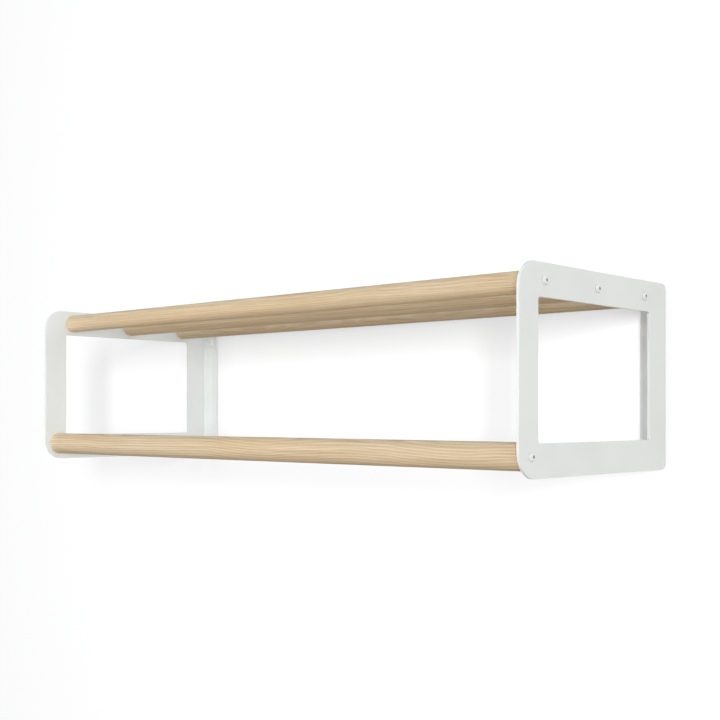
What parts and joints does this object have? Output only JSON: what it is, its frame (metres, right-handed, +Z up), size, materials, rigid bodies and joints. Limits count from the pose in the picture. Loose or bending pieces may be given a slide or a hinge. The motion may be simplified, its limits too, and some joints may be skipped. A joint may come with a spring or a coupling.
{
  "type": "wall coat rack",
  "caption": "Wall-mounted coat and hat rack: white steel side brackets with open windows carry a shelf of round oak dowels over a thicker hanging rail.",
  "frame": {"origin": "on the wall plane, midway between the round parts of the two keyholes in the wall flanges", "axes": "+X along the rack to the right-hand bracket, +Y into the wall (the front faces -Y), +Z up"},
  "size_m": [0.8054, 0.295, 0.21],
  "materials": {
    "white_powder_coat": "fine matt powder coat",
    "pale_oak": "sanded and matt lacquered",
    "white_screw": "satin white",
    "insert_brass": "turned"
  },
  "bodies": {
    "root": {"left_bracket": "white_powder_coat", "right_bracket": "white_powder_coat", "front_shelf_dowel": "pale_oak", "middle_shelf_dowel": "pale_oak", "rear_shelf_dowel": "pale_oak", "hanging_rail": "pale_oak", "left_front_shelf_screw": "white_screw", "left_middle_shelf_screw": "white_screw", "left_rear_shelf_screw": "white_screw", "left_hanging_screw": "white_screw", "right_front_shelf_screw": "white_screw", "right_middle_shelf_screw": "white_screw", "right_rear_shelf_screw": "white_screw", "right_hanging_screw": "white_screw", "left_front_shelf_insert": "insert_brass", "left_middle_shelf_insert": "insert_brass", "left_rear_shelf_insert": "insert_brass", "left_hanging_insert": "insert_brass", "right_front_shelf_insert": "insert_brass", "right_middle_shelf_insert": "insert_brass", "right_rear_shelf_insert": "insert_brass", "right_hanging_insert": "insert_brass"}
  },
  "joints": []
}
